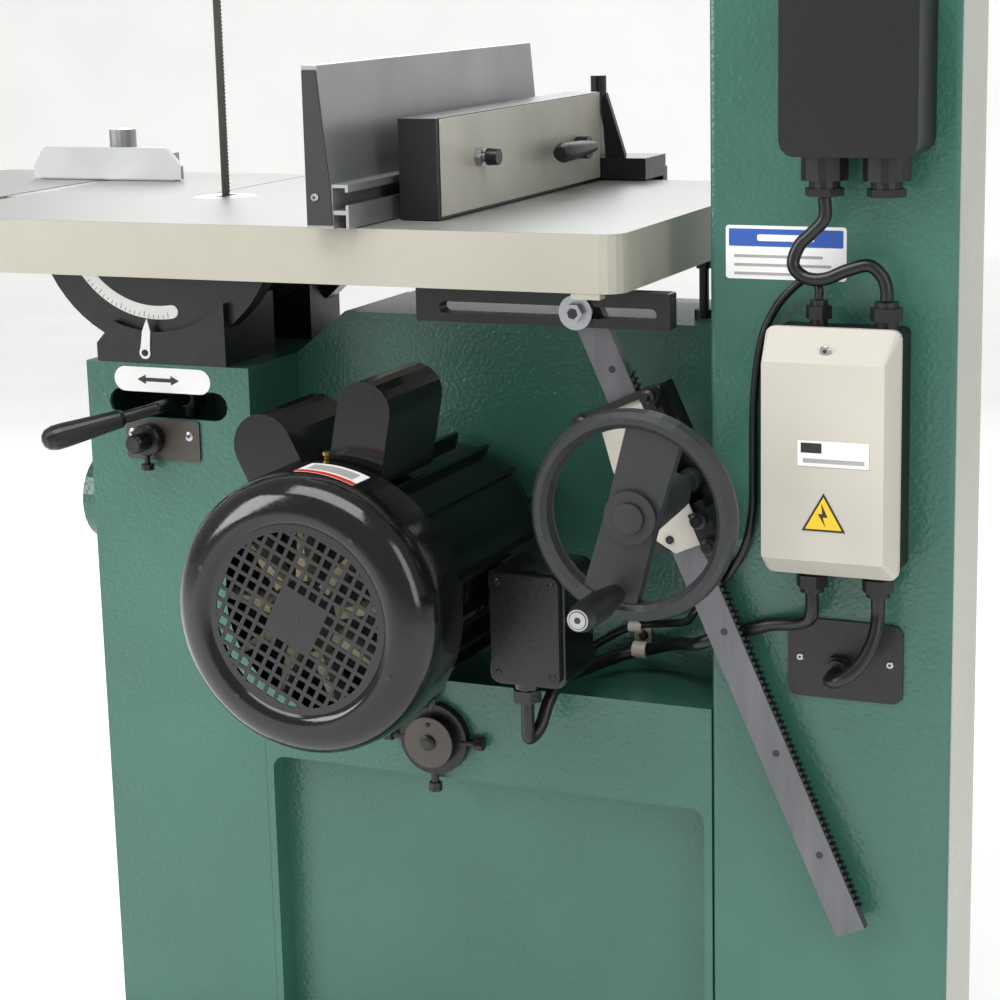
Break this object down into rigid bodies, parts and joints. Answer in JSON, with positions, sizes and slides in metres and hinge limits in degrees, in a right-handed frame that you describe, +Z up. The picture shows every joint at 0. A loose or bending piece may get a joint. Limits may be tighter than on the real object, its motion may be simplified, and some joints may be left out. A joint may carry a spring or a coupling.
{
  "type": "vertical band saw",
  "caption": "Floor-standing vertical band saw with a geared tilting cast table, rip fence, mitre gauge, belt-driven wheels, doors and a rear handwheel.",
  "frame": {"origin": "centre of the outer box at floor level", "axes": "+X towards the table's free end, away from the column; +Y towards the motor side; -Y is the operator's side; +Z up"},
  "size_m": [1.316, 0.7516, 2.105],
  "materials": {
    "green_paint": "orange-peel gloss enamel",
    "cream_paint": "hammered satin paint, ground top",
    "black_paint": "gloss black enamel",
    "cast_iron": "dark painted casting",
    "black_plastic": "moulded",
    "grey_plastic": "moulded, fine texture",
    "steel": "ground",
    "blackened_steel": "black oxide",
    "aluminium": "anodised extrusion",
    "rubber": "matte black",
    "red_plastic": "moulded",
    "green_plastic": "moulded"
  },
  "bodies": {
    "machine": {"base_plate": "green_paint", "column": "green_paint", "lower_wheel_box": "green_paint", "pedestal": "green_paint", "rear_panel": "green_paint", "upper_wheel_box": "green_paint", "blade_return_guard": "green_paint", "dust_port": "green_paint", "motor_body": "black_paint", "motor_fan_cover": "black_paint", "left_capacitor_cover": "black_paint", "right_capacitor_cover": "black_paint", "motor_terminal_box": "black_paint", "starter_base": "black_plastic", "starter_cover": "grey_plastic", "junction_box": "black_plastic", "cable_plate": "blackened_steel", "cable_supply": "rubber", "cable_control": "rubber", "cable_motor": "rubber", "cable_outlet": "rubber", "rear_saddle": "cast_iron", "front_saddle": "cast_iron", "tilt_gearbox": "blackened_steel", "lower_wheel_shaft": "steel", "stop_bolt": "blackened_steel", "drive_belt": "rubber", "blade": "steel", "lower_guides": "blackened_steel", "switch_panel": "grey_plastic"},
    "table": {"table": "cream_paint", "table_insert": "aluminium", "rear_trunnion": "cast_iron", "front_trunnion": "cast_iron", "tilt_bracket": "cast_iron", "fence_rail": "blackened_steel"},
    "slot_bolt": {"slot_bolt": "steel"},
    "tilt_rack": {"tilt_rack": "steel"},
    "tilt_handwheel": {"tilt_handwheel": "black_plastic"},
    "crank_handle": {"crank_handle": "black_plastic"},
    "fence": {"fence_body": "cast_iron", "fence_face": "aluminium"},
    "fence_lock": {"fence_lock": "black_plastic"},
    "mitre_bar": {"mitre_bar": "steel"},
    "mitre_head": {"mitre_head": "aluminium"},
    "table_lock_lever": {"table_lock_lever": "blackened_steel"},
    "lower_wheel": {"lower_wheel": "cast_iron", "lower_tyre": "rubber"},
    "upper_wheel": {"upper_wheel": "cast_iron", "upper_tyre": "rubber"},
    "upper_wheel_carriage": {"upper_wheel_carriage": "cast_iron"},
    "tension_handwheel": {"tension_handwheel": "black_plastic"},
    "guide": {"guide_post": "steel", "upper_guides": "blackened_steel"},
    "guide_handwheel": {"guide_handwheel": "black_plastic"},
    "lower_door": {"lower_door": "green_paint"},
    "upper_door": {"upper_door": "green_paint"},
    "motor_rotor": {"motor_rotor": "steel"},
    "start_button": {"start_button": "green_plastic"},
    "stop_button": {"stop_button": "red_plastic"}
  },
  "joints": [
    {"name": "table_tilt", "type": "hinge", "parent": "machine", "child": "table", "pos_m": [0.198, -0.05775, 0.933], "axis": [0, 1, 0], "range_deg": [0, 45]},
    {"name": "slot_bolt_slide", "type": "slide", "parent": "table", "child": "slot_bolt", "axis": [1, 0, 0], "range_m": [0, 0.0755]},
    {"name": "rack_slide", "type": "slide", "parent": "machine", "child": "tilt_rack", "axis": [0.4067, 0, 0.9135], "range_m": [0, 0.3466]},
    {"name": "handwheel_turn", "type": "hinge", "parent": "machine", "child": "tilt_handwheel", "pos_m": [-0.392, 0.27225, 0.695], "axis": [0, -1, 0], "range_deg": [0, 1418]},
    {"name": "crank_spin", "type": "hinge", "parent": "tilt_handwheel", "child": "crank_handle", "pos_m": [-0.37984, 0.28575, 0.62606], "axis": [0, 1, 0], "continuous": true},
    {"name": "fence_slide", "type": "slide", "parent": "table", "child": "fence", "axis": [-1, 0, 0], "range_m": [-0.2, 0.13]},
    {"name": "fence_lock_swing", "type": "hinge", "parent": "fence", "child": "fence_lock", "pos_m": [-0.115, -0.36675, 0.939], "axis": [1, 0, 0], "range_deg": [0, 70]},
    {"name": "mitre_slide", "type": "slide", "parent": "table", "child": "mitre_bar", "axis": [0, 1, 0], "range_m": [-0.1, 0.28]},
    {"name": "mitre_swivel", "type": "hinge", "parent": "mitre_bar", "child": "mitre_head", "pos_m": [0.44, -0.23775, 0.933], "axis": [0, 0, 1], "range_deg": [-60, 60]},
    {"name": "lock_lever_swing", "type": "hinge", "parent": "machine", "child": "table_lock_lever", "pos_m": [0.185, 0.05425, 0.733], "axis": [0, 0, 1], "range_deg": [-25, 30]},
    {"name": "lower_wheel_spin", "type": "hinge", "parent": "machine", "child": "lower_wheel", "pos_m": [-0.1129, -0.05775, 0.406], "axis": [0, 1, 0], "continuous": true},
    {"name": "upper_wheel_spin", "type": "hinge", "parent": "upper_wheel_carriage", "child": "upper_wheel", "pos_m": [-0.1129, -0.05775, 1.731], "axis": [0, 1, 0], "continuous": true},
    {"name": "motor_spin", "type": "hinge", "parent": "machine", "child": "motor_rotor", "pos_m": [-0.092, -0.02175, 0.592], "axis": [0, 1, 0], "continuous": true},
    {"name": "tension_turn", "type": "hinge", "parent": "machine", "child": "tension_handwheel", "pos_m": [-0.1129, 0.01025, 1.36], "axis": [0, 0, 1], "range_deg": [-361, 0]},
    {"name": "carriage_slide", "type": "slide", "parent": "machine", "child": "upper_wheel_carriage", "axis": [0, 0, 1], "range_m": [-0.012, 0]},
    {"name": "guide_slide", "type": "slide", "parent": "machine", "child": "guide", "axis": [0, 0, 1], "range_m": [-0.19, 0.2]},
    {"name": "guide_handwheel_turn", "type": "hinge", "parent": "machine", "child": "guide_handwheel", "pos_m": [0.2823, -0.02575, 1.49], "axis": [1, 0, 0], "range_deg": [-545, 574]},
    {"name": "lower_door_hinge", "type": "hinge", "parent": "machine", "child": "lower_door", "pos_m": [-0.466, -0.16105, 0], "axis": [0, 0, -1], "range_deg": [0, 110]},
    {"name": "upper_door_hinge", "type": "hinge", "parent": "machine", "child": "upper_door", "pos_m": [-0.637, -0.16105, 0], "axis": [0, 0, -1], "range_deg": [0, 110]},
    {"name": "start_press", "type": "slide", "parent": "machine", "child": "start_button", "axis": [0, 1, 0], "range_m": [0, 0.004], "stiffness_N_per_m": 400},
    {"name": "stop_press", "type": "slide", "parent": "machine", "child": "stop_button", "axis": [0, 1, 0], "range_m": [0, 0.004], "stiffness_N_per_m": 400}
  ],
  "couplings": [
    {"joint": "slot_bolt_slide", "follows": "table_tilt", "m_per_rad": 0.09587},
    {"joint": "rack_slide", "follows": "table_tilt", "m_per_rad": 0.44099},
    {"joint": "handwheel_turn", "follows": "table_tilt", "ratio": 31.5},
    {"joint": "upper_wheel_spin", "follows": "lower_wheel_spin", "ratio": 1},
    {"joint": "motor_spin", "follows": "lower_wheel_spin", "ratio": 2.326},
    {"joint": "tension_turn", "follows": "carriage_slide", "rad_per_m": 523.6},
    {"joint": "guide_handwheel_turn", "follows": "guide_slide", "rad_per_m": 50}
  ]
}
